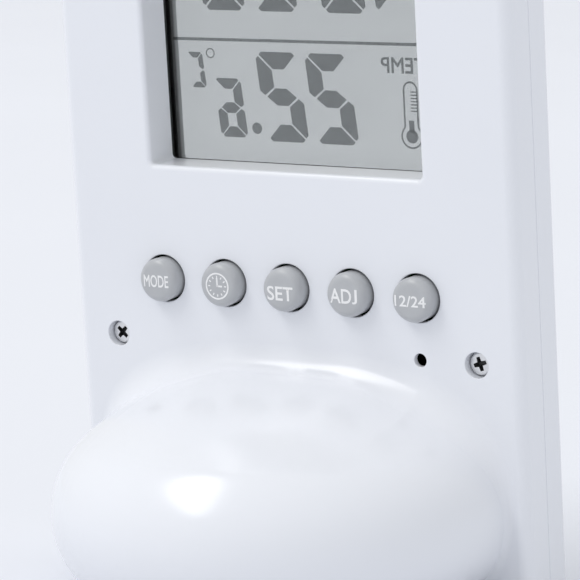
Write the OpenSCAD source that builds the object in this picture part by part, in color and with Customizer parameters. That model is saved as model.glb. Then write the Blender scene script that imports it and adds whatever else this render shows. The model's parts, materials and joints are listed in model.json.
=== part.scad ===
// Desk clock with a see-through display, five keys on its back and a round foot.
// X runs to the right as seen from the front, +Y to the back, +Z up, with the table at Z = 0.
// Most pieces are drawn in the plate's own axes: X as above, Y out of the back, Z up along the back,
// with the middle key's centre on the back face as the origin.

/* [Case] */
// Width of the case
case_w = 84; // [80:1:92]
// Top edge of the case above the key row, along the back
case_top = 87; // [80:1:100]
// Thickness of the slab
case_t = 13; // [12.5:0.1:15]
// Depth of the rear shell, from the back face to the parting line
rear_depth = 6.5; // [6:0.1:7]
// Wall of both mouldings
wall = 2; // [1.6:0.1:2.2]
// Radius of the top corners
corner_r = 8; // [5:0.5:12]
// Radius of the outer edges
edge_r = 2; // [1:0.1:2.5]
// Lean of the slab to the back, in degrees
lean = 5.7; // [3:0.1:8]
// Height of the locating lip between the mouldings
lip_h = 1.2; // [0.8:0.1:1.6]
// Thickness of the locating lip
lip_t = 0.9; // [0.6:0.05:1]
// Gap round the locating lip
lip_gap = 0.1; // [0.05:0.05:0.2]

/* [Window] */
// Width of the window
window_w = 51; // [46:0.5:52]
// Height of the window
window_h = 52; // [40:1:54]
// Lower edge of the window above the key row
window_sill = 18.8; // [18:0.1:20]
// Radius of the window's corners
window_r = 0.8; // [0.4:0.1:2]
// Thickness of the collar round the window
collar_t = 1.6; // [1.2:0.1:2]
// Depth of the window recess, down to the gasket
recess_depth = 6.6; // [6.2:0.1:7]

/* [Display] */
// Thickness of the black gasket
gasket_t = 0.6; // [0.4:0.1:0.8]
// Width of the gasket's frame
gasket_w = 1.9; // [1:0.1:2.2]
// Thickness of one polarizer film
film_t = 0.2; // [0.15:0.05:0.3]
// Thickness of one glass plate
glass_t = 1.1; // [0.7:0.1:1.2]
// Border of the glass round the window
glass_border = 3; // [2.5:0.1:3.4]
// Height of the contact ledge below the rear glass
ledge_h = 3.1; // [2.6:0.1:3.2]
// Thickness of the front lens
lens_t = 1.2; // [0.8:0.1:1.3]
// Space by which the front window is larger than the rear one, on each side
front_margin = 1; // [0.8:0.1:1.2]
// Border of the lens round the window
lens_border = 2; // [1.5:0.1:3]
// Depth of the lens below the front face
lens_sunk = 0.2; // [0.1:0.05:0.3]
// Gap round the lens and the glass
fit_gap = 0.15; // [0.1:0.05:0.25]
// Width of the ribbon
ribbon_w = 40; // [30:1:46]
// Thickness of the ribbon
ribbon_t = 0.2; // [0.1:0.05:0.3]
// Length of the ribbon that lies on the board
ribbon_lap = 3; // [2:0.1:3.4]
// Width of the display's seat round the window
seat_w = 2.2; // [1.5:0.1:2.8]
// Thickness of the stops round the glass
stop_t = 1.2; // [0.8:0.1:1.4]
// Depth of the stops below the board's face
stop_sunk = 0.3; // [0.2:0.05:0.5]

/* [Keys] */
// Distance between two keys
key_pitch = 12; // [11:0.1:12.5]
// Diameter of a key cap
key_d = 7.2; // [6:0.1:7.6]
// Gap between a key cap and its hole
key_gap = 0.28; // [0.2:0.01:0.4]
// Height of a key cap above the back face
key_proud = 2.5; // [1.5:0.1:4]
// Travel of a key
key_travel = 0.9; // [0.4:0.1:1]
// Radius of a key cap's shoulder
key_shoulder = 1.2; // [0.4:0.1:1.2]
// Width of the flange round a key cap
flange_w = 0.9; // [0.6:0.1:1.4]
// Thickness of the flange
flange_t = 0.9; // [0.6:0.1:1]
// Gap between the flange and the back plate
flange_gap = 0.15; // [0.05:0.05:0.2]
// Diameter of the stem behind a key cap
stem_d = 3.2; // [2.5:0.1:4]
// Distance of the pin hole from the middle key
pin_hole_x = 23.9; // [20:0.1:24.5]
// Diameter of the pin hole
pin_hole_d = 2.2; // [1.5:0.1:3]

/* [Board] */
// Distance of the circuit board from the case's sides
board_margin = 5; // [4.5:0.1:6]
// Width of the board's lower tongue
tongue_w = 57; // [55:0.5:58]
// Thickness of the circuit board
board_t = 1.2; // [0.8:0.1:1.3]
// Side of a tact switch
switch_w = 6; // [5:0.1:6.2]
// Height of a tact switch
switch_h = 3.4; // [3:0.1:3.8]
// Diameter of a switch plunger
plunger_d = 3; // [2.4:0.1:3.4]
// Length of a plunger inside its switch
plunger_seat = 1; // [0.6:0.1:1.2]
// Space left above a switch when its key is pressed
press_gap = 0.05; // [0.02:0.01:0.1]
// Gap between a plunger and its switch
plunger_gap = 0.1; // [0.05:0.05:0.2]
// Travel of the reset plunger
reset_travel = 0.25; // [0.2:0.05:0.5]
// Lower edge of the board's wide part below the key row
neck_drop = 6; // [5.5:0.1:6.4]
// Lower edge of the board's tongue below the key row
tongue_drop = 15; // [14.6:0.1:16]
// Diameter of the piezo disc
buzzer_d = 20; // [15:1:24]
// Thickness of the piezo disc's metal, and of its ceramic
disc_t = 0.25; // [0.15:0.05:0.4]
// Diameter of the piezo disc's ceramic
ceramic_d = 14; // [10:1:15]
// Distance of the piezo disc below the key row
buzzer_drop = 28; // [27:0.5:30]
// Diameter of the driver chip's cover
chip_d = 9; // [7:0.1:10]
// Height of the driver chip's cover
chip_h = 1.6; // [1:0.1:2]
// Distance of the driver chip below the key row
chip_drop = 9.8; // [9:0.1:10]
// Diameter of the crystal's can
can_d = 2; // [1.5:0.1:3]
// Length of the crystal's can
can_l = 6; // [5:0.1:7]
// Distance of the crystal from the middle
can_x = 8.5; // [7:0.1:9.5]
// Length of a small component
component_l = 2; // [1.6:0.1:3]
// Width of a small component
component_w = 1.2; // [0.8:0.1:1.6]
// Height of a small component
component_h = 0.7; // [0.4:0.1:1.2]
// Distance of the lower row of small components below the key row
component_drop = 4.6; // [4.2:0.1:4.8]
// Diameter of the thermistor's bead
bead_d = 2.4; // [1.8:0.1:3]
// Height of the thermistor's bead above the board
bead_rise = 3; // [2.4:0.1:3.6]
// Diameter of a thermistor leg
leg_d = 0.5; // [0.4:0.05:0.6]

/* [Screws] */
// Distance of the case screws from the middle
screw_x = 34; // [33.5:0.1:35]
// Distance of the case screws below the key row
screw_drop = 10; // [9.8:0.1:11]
// Diameter of a case screw's head
head_d = 3.8; // [3.2:0.1:4.2]
// Height of a screw head
head_h = 1.4; // [1:0.1:1.6]
// Depth of the case screws' heads below the back face
head_sunk = 0.8; // [0.4:0.1:1.2]
// Diameter of a case screw's shank
shank_d = 1.9; // [1.6:0.1:2.2]
// Length of a case screw below its head
shank_l = 7.8; // [6:0.1:8.2]
// Wall of a screw post
post_wall = 2; // [1.5:0.1:2.2]
// Diameter of a board screw's shank
board_shank_d = 1.5; // [1.2:0.1:1.7]
// Length of a board screw below its head
board_shank_l = 3.4; // [2.6:0.1:3.8]
// Diameter of a board screw's head
board_head_d = 3.2; // [2.8:0.1:3.6]
// Height of a board screw's head
board_head_h = 1.1; // [0.8:0.1:1.4]
// Depth of a screw's cross, as a share of its head's height
cross_depth = 0.55; // [0.4:0.05:0.7]
// Length of a screw's cross, as a share of its head's diameter
cross_l = 0.62; // [0.5:0.01:0.75]
// Width of a screw's cross, as a share of its head's diameter
cross_w = 0.17; // [0.12:0.01:0.22]
// Distance of the upper board screws from the board's side
board_screw_in = 4; // [3.5:0.1:5]
// Distance of the upper board screws above the key row
board_screw_rise = 7; // [6:0.1:7.4]
// Distance of the lower board screws from the middle
low_screw_x = 15; // [13:0.1:16]
// Distance of the lower board screws below the key row
low_screw_drop = 12.2; // [11:0.1:12.5]
// Gap round a screw
screw_gap = 0.1; // [0.05:0.05:0.2]

/* [Foot] */
// Radius of the foot's round rim
foot_r = 14.5; // [14:0.1:15]
// Height of the rim's middle above the table, at the back face
axis_h = 14.2; // [14:0.1:14.4]
// Reach of the blend beyond the foot's sides
end_blend = 1.4; // [1.2:0.1:1.6]
// Distance of the rim's middle below the key row
foot_drop = 34.4; // [34:0.1:35]
// Distance of the half disc's centre behind the back face
foot_back = 3.4; // [3:0.1:4]
// Upper edge of the foot's blend below the key row
blend_drop = 9.3; // [9.1:0.1:9.8]
// Space between the blend and the rounded side edge
blend_margin = 0.4; // [0.2:0.1:0.6]
// Radius of the blend between the plate and the top of the foot
blend_r = 4.2; // [3.4:0.1:4.8]
// Fullness of the blend's outline, 2 for an ellipse
blend_power = 2.8; // [2.5:0.1:3]

/* [Base] */
// Height of the rubber feet
pad_h = 1; // [0.6:0.1:1.4]
// Diameter of the rubber feet
pad_d = 5; // [4:0.1:5.4]
// Thickness of the bottom wall
base_wall = 2.4; // [2.2:0.1:2.6]
// Thickness of the battery door
door_t = 1.8; // [1.5:0.1:2]
// Gap round the battery door
door_gap = 0.3; // [0.2:0.05:0.4]
// Distance of the door's ends from the battery bay's ends
door_end = 0.8; // [0.7:0.1:1]
// Distance of the door's front and rear edges from the battery bay's
door_set = 0.4; // [0.3:0.1:0.6]
// Radius of the door's hinge pins
hinge_r = 0.6; // [0.5:0.05:0.65]
// Gap round a hinge pin
hinge_gap = 0.07; // [0.04:0.01:0.09]
// Length of a hinge pin
hinge_l = 1.2; // [0.8:0.1:1.4]
// Radius of the thumb recess in the battery door
thumb_r = 6; // [4:0.1:8]
// Depth of the thumb recess
thumb_depth = 0.8; // [0.4:0.1:1]
// Width of the door's latch tongue
latch_w = 10; // [6:0.5:16]
// Thickness of the latch tongue
latch_t = 1; // [0.8:0.1:1.4]
// Height of the latch tongue
latch_h = 1.6; // [1:0.1:2]
// Distance of the rear pads from the middle
pad_rear_x = 12; // [8:0.5:14]
// Distance of the rear pads behind the battery bay's middle
pad_back = 18; // [17:0.1:19]
// Distance of the front pads from the middle
pad_front_x = 34; // [28:0.5:36]
// Distance of the front pads' edge from the front face
pad_front_in = 1.2; // [0.8:0.1:1.6]

/* [Battery] */
// Diameter of a cell
cell_d = 10.5; // [9.5:0.1:10.5]
// Length of a cell with its nub
cell_l = 44.5; // [40:0.1:45]
// Space that a compressed spring takes
spring_l = 6.3; // [5:0.1:7]
// Thickness of the spring wire
wire_d = 0.8; // [0.6:0.1:1]
// Thickness of the contact plates
plate_t = 0.4; // [0.3:0.05:0.5]
// Thickness of the walls round the cells
cell_wall = 1.2; // [1:0.1:1.5]
// Diameter of the leads
lead_d = 1.4; // [1:0.1:1.6]
// Space round a cell in its bay
cell_room = 0.4; // [0.3:0.05:0.5]
// Diameter of a cell's nub
nub_d = 3.8; // [3:0.1:5]
// Length of a cell's nub
nub_l = 1; // [0.8:0.1:1.4]
// Turns of a contact spring
spring_turns = 3.5; // [3:0.5:4]
// Radius of a contact spring at its plate
spring_wide = 3.4; // [3:0.1:3.6]
// Radius of a contact spring at its cell
spring_narrow = 2; // [1.6:0.1:2.4]
// Side of a contact plate
contact_w = 8; // [7:0.1:8.4]
// Height of a contact's bump
bump_h = 0.4; // [0.2:0.1:0.6]
// Diameter of a contact's bump
bump_d = 3; // [2:0.1:4]
// Width of a contact's tab
tab_w = 4; // [3:0.1:5]
// Height of a contact's tab above the bay
tab_rise = 1.6; // [1:0.1:2]
// Distance of the battery bay's middle behind the back face
cell_back = 8.5; // [8:0.1:9]
// Space between the two cells
cell_apart = 0.6; // [0.4:0.1:0.8]
// Height of the leads' ends above the battery bay
lead_lift = 0.6; // [0.3:0.1:1]
// Height that a lead rises before it bends
lead_rise = 2; // [1:0.1:3]
// Distance of the leads' ends from the board's lower edge
lead_in = 1; // [0.5:0.1:1.6]
// Distance of the leads' ends from the middle
lead_x = 22; // [20:0.5:23]
// Distance between the leads' ends
lead_apart = 4; // [3:0.1:5]

/* [Hidden] */
$fn = 64;

white = [0.93, 0.94, 0.96];
key_grey = [0.62, 0.63, 0.64];
steel = [0.75, 0.76, 0.78];
black = [0.06, 0.06, 0.07];
far = 300;
eps = 0.01;
over = 1;

// Depths below the back face, named for the face that lies there
gasket_front = recess_depth + gasket_t;
rear_glass_back = gasket_front + film_t;
front_glass_back = rear_glass_back + glass_t;
film_back = front_glass_back + glass_t;
display_front = film_back + film_t;
board_back = front_glass_back;
board_front = board_back + board_t;
bezel_inside = case_t - wall;
switch_top = board_back - switch_h;
plunger_top = switch_top - key_travel - press_gap;
reset_top = switch_top - reset_travel - press_gap;
flange_top = wall + flange_gap;
head_seat = head_sunk + head_h;

// Heights along the back, from the key row
window_top = window_sill + window_h;
window_mid = window_sill + window_h / 2;
glass_top = window_top + glass_border;
rear_glass_low = window_sill - glass_border;
glass_low = rear_glass_low - ledge_h;
board_top = glass_low - stop_t - 2 * fit_gap;

glass_w = window_w + 2 * glass_border;
board_w = case_w - 2 * board_margin;
flat_half = case_w / 2 - edge_r;
foot_half = flat_half - blend_margin;
foot_run = foot_half - foot_r - end_blend;
function key_x(i) = (2 - i) * key_pitch;

// The key row's height, and the shift that centres the whole clock over its origin
function turn_y(y, z) = y * cos(lean) + z * sin(lean);
function turn_z(y, z) = z * cos(lean) - y * sin(lean);
row_h = axis_h - turn_z(0, -foot_drop);
case_low = -row_h - corner_r;
front_low_z = (pad_h - row_h - case_t * sin(lean)) / cos(lean);
front_y = turn_y(-case_t, front_low_z);
back_y = turn_y(foot_back + foot_run, -foot_drop) + foot_r;
plate_y = -(front_y + back_y) / 2;
function plate_point(x, y, z) = [x, plate_y + turn_y(y, z), row_h + turn_z(y, z)];

// The cells lie across the foot side by side, with room round each
base_top = pad_h + base_wall;
bay_low = pad_h + base_wall / 2;
cells_y = plate_y + turn_y(cell_back, -foot_drop);
cell_z = base_top + cell_room + cell_d / 2;
front_cell_y = cells_y - (cell_d + cell_apart) / 2;
rear_cell_y = cells_y + (cell_d + cell_apart) / 2;
bay_half = (cell_l + spring_l) / 2 + plate_t;
bay_top = cell_z + cell_d / 2 + cell_room;
bay_front = front_cell_y - cell_d / 2 - cell_room;
bay_rear = rear_cell_y + cell_d / 2 + cell_room;
door_half = bay_half - door_end;
door_front = bay_front + door_set;
door_back = bay_rear - door_set;
hinge_y = door_front + door_t / 2;
hinge_z = pad_h + door_t / 2;
post_d = shank_d + 2 * post_wall;
board_post_d = board_shank_d + 2 * post_wall;
board_screw_spots = [for (s = [-1, 1])
    each [[s * (board_w / 2 - board_screw_in), board_screw_rise], [s * low_screw_x, -low_screw_drop]]];
component_spots = [
    for (i = [-2.5 : 1 : 2.5]) [i * key_pitch, 0],
    for (i = [-1 : 1]) [i * key_pitch, -component_drop]
];
tube_sides = 8;
wire_sides = 6;
spring_steps = 12;
lead_steps = 14;

module on_plate() {
    translate([0, plate_y, row_h])
        rotate([-lean, 0, 0])
            children();
}

// Extrudes a drawing in X and Z from depth a to depth b below the back face
module between(a, b) {
    translate([0, -a, 0])
        rotate([90, 0, 0])
            linear_extrude(b - a)
                children();
}

// A round bar from depth a to depth b below the back face
module bar(x, z, d, a, b) {
    translate([x, -a, z])
        rotate([90, 0, 0])
            cylinder(d = d, h = b - a);
}

module below(z) {
    translate([-far / 2, -far / 2, z - far])
        cube(far);
}

module above(z) {
    translate([-far / 2, -far / 2, z])
        cube(far);
}

module rect(w, low, top, r) {
    h = top - low;
    translate([0, low + h / 2])
        union() {
            square([w - 2 * r, h], center = true);
            square([w, h - 2 * r], center = true);
            for (sx = [-1, 1], sz = [-1, 1])
                translate([sx * (w / 2 - r), sz * (h / 2 - r)])
                    circle(r);
        }
}

// The case's outline, drawn in by inset, and cut off below the table
module case_outline(inset) {
    r = corner_r - inset;
    top = case_top - inset;
    half = case_w / 2 - inset;
    translate([-half, case_low])
        square([2 * half, top - r - case_low]);
    translate([-(half - r), top - r - eps])
        square([2 * (half - r), r + eps]);
    for (sx = [-1, 1])
        translate([sx * (half - r), top - r])
            circle(r);
}

// One side strip of a half case: a rounded edge of radius r on a strip corner_r wide and t thick
module edge_strip(t, r) {
    square([corner_r, t - r]);
    square([corner_r - r, t]);
    translate([corner_r - r, t - r])
        circle(r);
}

// A solid half case from the parting line out to its face, t thick, facing +Z
module half_case(t) {
    half = case_w / 2 - corner_r;
    top = case_top - corner_r;
    translate([-half, case_low, 0])
        cube([2 * half, top - case_low, t]);
    for (s = [0, 1])
        mirror([s, 0, 0]) {
            translate([half, top, 0])
                rotate([90, 0, 0])
                    linear_extrude(top - case_low)
                        edge_strip(t, edge_r);
            translate([half, top, 0])
                rotate_extrude(angle = 90)
                    edge_strip(t, edge_r);
        }
    translate([-half, top, 0])
        rotate([90, 0, 90])
            linear_extrude(2 * half)
                edge_strip(t, edge_r);
}

// The foot is half of a thick disc with a round rim and a domed top. A hollow arc blends its top and
// sides into the plate. The blend's outline is a rounded arch above, and follows the rim below.
arch_h = foot_drop - blend_drop;
arch_steps = 36;
end_steps = 9;
end_sweep = 89.9;
blend_steps = 7;
rim_steps = 18;
dome_steps = 6;
dome_h = arch_h - blend_r;
dome_r = (foot_run * foot_run + dome_h * dome_h - foot_r * foot_r) / (2 * (dome_h - foot_r));
dome_drop = dome_r - dome_h;
dome_turn = atan2(dome_drop, foot_run);
rim = 0.05;
skirt = 0.8;
sink = 1;
function signed_power(a, p) = sign(a) * pow(abs(a), p);
function arch_point(t) = [
    foot_half * signed_power(cos(t), 2 / blend_power),
    arch_h * signed_power(sin(t), 2 / blend_power)
];
function end_point(a) = [
    sign(cos(a)) * foot_run + (foot_half - foot_run) * cos(a),
    (foot_half - foot_run) * sin(a)
];
function outline_points() = concat(
    [for (i = [0 : arch_steps]) arch_point(180 * i / arch_steps)],
    [for (i = [1 : end_steps]) end_point(180 + end_sweep * i / end_steps)],
    [for (i = [end_steps : -1 : 1]) end_point(-end_sweep * i / end_steps)]
);
function core_x(p) = max(-foot_run, min(foot_run, p[0]));

// One side of the foot's profile drawn in by inset, from below the rim to the middle of the dome
function foot_side(inset) = concat(
    [for (i = [0 : rim_steps])
        let (a = -90 + (90 + dome_turn) * i / rim_steps)
        [foot_run + (foot_r - inset) * cos(a), (foot_r - inset) * sin(a)]],
    [for (i = [1 : dome_steps])
        let (a = dome_turn + (90 - dome_turn) * i / dome_steps)
        [(dome_r - inset) * cos(a), (dome_r - inset) * sin(a) - dome_drop]]
);

// The half disc drawn in by inset, with a foot end that reaches to a depth below the back face
module foot_disc(inset, depth) {
    side = foot_side(inset + rim);
    translate([0, foot_back, -foot_drop])
        rotate_extrude(angle = 180)
            polygon(concat([[0, inset - foot_r]], foot_side(inset)));
    between(-foot_back - eps, depth)
        translate([0, -foot_drop])
            polygon(concat(side, [for (i = [len(side) - 2 : -1 : 0]) [-side[i][0], side[i][1]]]));
}

// Distance from the rim's middle to the foot's skin, towards an outline point
function skin_reach(p) =
    let (x = abs(core_x(p)))
    let (away = [abs(p[0]) - x, p[1]] / norm([abs(p[0]) - x, p[1]]))
    let (b = x * away[0] + dome_drop * away[1])
    away[1] < sin(dome_turn) ? foot_r
        : sqrt(b * b - x * x - dome_drop * dome_drop + dome_r * dome_r) - b;

// One section of the blend, as points of distance from the rim's middle and height
function blend_section(reach, skin) =
    let (r = reach - skin)
    let (end = acos((r - rim) / r))
    concat(
        [[skin - sink, -skirt], [skin - sink, r - r * sin(end)]],
        [for (i = [0 : blend_steps])
            let (a = 180 + end + (90 - 2 * end) * i / blend_steps)
            [reach + r * cos(a), r + r * sin(a)]],
        [[reach - r * sin(end), -skirt]]
    );

module foot_blend() {
    outline = outline_points();
    sections = [for (p = outline)
        let (away = [p[0] - core_x(p), p[1]])
        let (reach = norm(away))
        [for (q = blend_section(reach, skin_reach(p)))
            [core_x(p) + q[0] * away[0] / reach, q[1], q[0] * away[1] / reach - foot_drop]]];
    n = len(sections);
    m = len(sections[0]);
    points = [for (s = sections) each s];
    skin = [for (i = [0 : n - 1], j = [0 : m - 1])
        let (a = i * m + j)
        let (b = ((i + 1) % n) * m + j)
        let (c = i * m + (j + 1) % m)
        let (d = ((i + 1) % n) * m + (j + 1) % m)
        each [[a, c, d], [a, d, b]]];
    polyhedron(points, skin);
}

// The hollow rear shell before its collar, bosses and holes
module rear_skin() {
    difference() {
        union() {
            on_plate()
                translate([0, -rear_depth, 0])
                    rotate([90, 0, 0])
                        mirror([0, 0, 1])
                            half_case(rear_depth);
            on_plate() {
                foot_disc(0, skirt);
                foot_blend();
            }
        }
        intersection() {
            above(base_top);
            union() {
                on_plate()
                    between(wall, rear_depth + over)
                        case_outline(wall);
                on_plate()
                    foot_disc(wall, wall + skirt);
            }
        }
    }
}

// The walls round the cells and their ceiling
module bay_walls() {
    difference() {
        translate([-bay_half - cell_wall, bay_front - cell_wall, bay_low])
            cube([2 * (bay_half + cell_wall), bay_rear - bay_front + 2 * cell_wall,
                  bay_top + cell_wall - bay_low]);
        translate([-bay_half, bay_front, 0])
            cube([2 * bay_half, bay_rear - bay_front, bay_top]);
    }
}

module rear_shell() {
    color(white)
        difference() {
            union() {
                rear_skin();
                bay_walls();
                on_plate() {
                    between(wall - eps, recess_depth)
                        rect(window_w + 2 * collar_t, window_sill - collar_t, window_top + collar_t,
                             window_r + collar_t);
                    for (s = [-1, 1])
                        bar(s * screw_x, -screw_drop, post_d, wall - eps, rear_depth - fit_gap);
                }
                intersection() {
                    above(base_top + lip_gap);
                    on_plate()
                        between(rear_depth - eps, rear_depth + lip_h)
                            difference() {
                                case_outline(wall - lip_t);
                                case_outline(wall);
                            }
                }
            }
            below(pad_h);
            on_plate() {
                between(-over, recess_depth + over)
                    rect(window_w, window_sill, window_top, window_r);
                for (i = [0 : 4])
                    bar(key_x(i), 0, key_d + 2 * key_gap, -over, wall + over);
                bar(-pin_hole_x, -screw_drop, pin_hole_d, -over, wall + over);
                for (s = [-1, 1]) {
                    bar(s * screw_x, -screw_drop, head_d + 4 * screw_gap, -over, head_seat);
                    bar(s * screw_x, -screw_drop, shank_d + 4 * screw_gap, head_seat - eps, rear_depth + over);
                }
            }
            translate([-door_half - door_gap, door_front - door_gap, 0])
                cube([2 * (door_half + door_gap), door_back - door_front + 2 * door_gap, base_top + eps]);
            translate([0, hinge_y, hinge_z])
                rotate([0, 90, 0])
                    cylinder(r = hinge_r + hinge_gap, h = 2 * (door_half + hinge_l + door_gap), center = true);
            for (y = [front_cell_y, rear_cell_y])
                translate([-bay_half - eps, y - tab_w / 2 - fit_gap, bay_top - over])
                    cube([plate_t + fit_gap, tab_w + 2 * fit_gap, cell_wall + 2 * over]);
        }
}

module bezel_skin() {
    difference() {
        on_plate()
            translate([0, -rear_depth, 0])
                rotate([90, 0, 0])
                    half_case(case_t - rear_depth);
        intersection() {
            above(base_top);
            on_plate() {
                between(rear_depth - over, bezel_inside)
                    case_outline(wall);
                between(rear_depth - over, rear_depth + lip_h + lip_gap)
                    case_outline(wall - lip_t - lip_gap);
            }
        }
    }
}

module front_bezel() {
    stop_depth = board_back + stop_sunk;
    color(white)
        difference() {
            union() {
                bezel_skin();
                on_plate() {
                    between(display_front, bezel_inside + eps)
                        rect(window_w + 2 * seat_w, window_sill - seat_w, window_top + seat_w,
                             window_r + seat_w);
                    for (s = [-1, 1])
                        bar(s * screw_x, -screw_drop, post_d, rear_depth, bezel_inside + eps);
                    for (p = board_screw_spots)
                        bar(p[0], p[1], board_post_d, board_front, bezel_inside + eps);
                    between(stop_depth, bezel_inside + eps) {
                        for (s = [-1, 1])
                            translate([s * (glass_w / 2 + fit_gap + stop_t / 2), window_mid])
                                square([stop_t, window_h / 2], center = true);
                        translate([0, glass_top + fit_gap + stop_t / 2])
                            square([window_w / 2, stop_t], center = true);
                        translate([0, glass_low - fit_gap - stop_t / 2])
                            square([window_w, stop_t], center = true);
                    }
                }
            }
            below(pad_h);
            on_plate() {
                between(display_front - over, case_t + over)
                    rect(window_w + 2 * front_margin, window_sill - front_margin,
                         window_top + front_margin, window_r + front_margin);
                between(case_t - lens_sunk - lens_t, case_t + over)
                    rect(window_w + 2 * (lens_border + fit_gap), window_sill - lens_border - fit_gap,
                         window_top + lens_border + fit_gap, window_r + lens_border);
                for (s = [-1, 1])
                    bar(s * screw_x, -screw_drop, shank_d + 2 * screw_gap, rear_depth - over,
                        head_seat + shank_l + screw_gap);
                for (p = board_screw_spots)
                    bar(p[0], p[1], board_shank_d + 2 * screw_gap, board_front - over,
                        board_back + board_shank_l + screw_gap);
            }
        }
}

module front_lens() {
    color([0.85, 0.9, 0.92, 0.4])
        on_plate()
            between(case_t - lens_sunk - lens_t, case_t - lens_sunk)
                rect(window_w + 2 * lens_border, window_sill - lens_border, window_top + lens_border,
                     window_r + lens_border);
}

module pane(a, t, low) {
    on_plate()
        between(a, a + t)
            translate([-glass_w / 2, low])
                square([glass_w, glass_top - low]);
}

module lcd_rear_polarizer() {
    color([0.6, 0.63, 0.63, 0.5])
        pane(gasket_front, film_t, rear_glass_low);
}

module lcd_rear_glass() {
    color([0.75, 0.85, 0.82, 0.4])
        pane(rear_glass_back, glass_t, rear_glass_low);
}

module lcd_front_glass() {
    color([0.75, 0.85, 0.82, 0.4])
        pane(front_glass_back, glass_t, glass_low);
}

module lcd_front_polarizer() {
    color([0.6, 0.63, 0.63, 0.5])
        pane(film_back, film_t, rear_glass_low);
}

module lcd_gasket() {
    color(black)
        on_plate()
            between(recess_depth, gasket_front)
                difference() {
                    rect(window_w + 2 * gasket_w, window_sill - gasket_w, window_top + gasket_w,
                         window_r + gasket_w);
                    rect(window_w, window_sill, window_top, window_r);
                }
}

module lcd_ribbon() {
    color([0.35, 0.22, 0.1])
        on_plate()
            between(board_back - ribbon_t, board_back)
                translate([-ribbon_w / 2, board_top - ribbon_lap])
                    square([ribbon_w, rear_glass_low - fit_gap - board_top + ribbon_lap]);
}

module main_board() {
    color([0.1, 0.35, 0.2])
        on_plate()
            difference() {
                between(board_back, board_front) {
                    translate([-board_w / 2, -neck_drop])
                        square([board_w, board_top + neck_drop]);
                    translate([-tongue_w / 2, -tongue_drop])
                        square([tongue_w, tongue_drop - neck_drop + eps]);
                }
                for (p = board_screw_spots)
                    bar(p[0], p[1], board_shank_d + 4 * screw_gap, board_back - over, board_front + over);
            }
}

module driver_chip() {
    dome_r = (chip_d * chip_d / 4 + chip_h * chip_h) / (2 * chip_h);
    color(black)
        on_plate()
            translate([0, -board_back, -chip_drop])
                rotate([-90, 0, 0])
                    intersection() {
                        translate([0, 0, chip_h - dome_r])
                            sphere(dome_r);
                        cylinder(d = chip_d + over, h = chip_h + over);
                    }
}

module crystal() {
    color(steel)
        on_plate()
            translate([can_x, -board_back + can_d / 2, -chip_drop - can_l / 2])
                union() {
                    cylinder(d = can_d, h = can_l);
                    translate([-can_d / 4, -can_d / 2, can_l / 4])
                        cube([can_d / 2, can_d / 2, can_l / 2]);
                }
}

module board_components() {
    color([0.55, 0.45, 0.32])
        on_plate()
            for (p = component_spots)
                between(board_back - component_h, board_back)
                    translate(p)
                        square([component_l, component_w], center = true);
}

module thermistor() {
    color([0.15, 0.15, 0.16])
        on_plate()
            union() {
                for (s = [-1, 1])
                    bar(pin_hole_x + s * bead_d / 4, -chip_drop, leg_d, board_back - bead_rise, board_back);
                translate([pin_hole_x, bead_rise - board_back, -chip_drop])
                    sphere(d = bead_d);
            }
}

module buzzer() {
    color([0.8, 0.65, 0.3])
        on_plate()
            union() {
                bar(0, -buzzer_drop, buzzer_d, bezel_inside - disc_t, bezel_inside);
                bar(0, -buzzer_drop, ceramic_d, bezel_inside - 2 * disc_t, bezel_inside - disc_t + eps);
            }
}

module tact_switch(x, z, travel) {
    color([0.2, 0.2, 0.22])
        difference() {
            between(switch_top, board_back)
                translate([x, z])
                    square(switch_w, center = true);
            bar(x, z, plunger_d + 2 * plunger_gap, switch_top - over,
                switch_top + plunger_seat + travel + plunger_gap);
        }
}

module tact_switches() {
    on_plate() {
        for (i = [0 : 4])
            tact_switch(key_x(i), 0, key_travel);
        tact_switch(-pin_hole_x, -screw_drop, reset_travel);
    }
}

module plunger(x, z, top) {
    color(black)
        on_plate()
            bar(x, z, plunger_d, top, switch_top + plunger_seat);
}

module reset_plunger() {
    plunger(-pin_hole_x, -screw_drop, reset_top);
}

module key_plunger(i) {
    plunger(key_x(i), 0, plunger_top);
}

module key_cap(i) {
    r = key_d / 2;
    color(key_grey)
        on_plate()
            translate([key_x(i), 0, 0])
                rotate([-90, 0, 0])
                    rotate_extrude()
                        union() {
                            translate([0, -flange_top - eps])
                                square([r, flange_top + key_proud - key_shoulder + eps]);
                            translate([0, -flange_top - eps])
                                square([r - key_shoulder, flange_top + key_proud + eps]);
                            intersection() {
                                translate([r - key_shoulder, key_proud - key_shoulder])
                                    circle(key_shoulder);
                                square([r, key_proud]);
                            }
                            translate([0, -flange_top - flange_t])
                                square([r + flange_w, flange_t]);
                            translate([0, -plunger_top])
                                square([stem_d / 2, plunger_top - flange_top]);
                        }
}

module screw(x, z, top, d, h, shank, length) {
    color(steel)
        difference() {
            union() {
                bar(x, z, d, top, top + h);
                bar(x, z, shank, top + h - eps, top + h + length);
            }
            between(top - over, top + h * cross_depth)
                translate([x, z]) {
                    square([d * cross_l, d * cross_w], center = true);
                    square([d * cross_w, d * cross_l], center = true);
                }
        }
}

module case_screws() {
    on_plate()
        for (s = [-1, 1])
            screw(s * screw_x, -screw_drop, head_sunk, head_d, head_h, shank_d, shank_l);
}

module board_screws() {
    on_plate()
        for (p = board_screw_spots)
            screw(p[0], p[1], board_back - board_head_h, board_head_d, board_head_h,
                  board_shank_d, board_shank_l);
}

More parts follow.
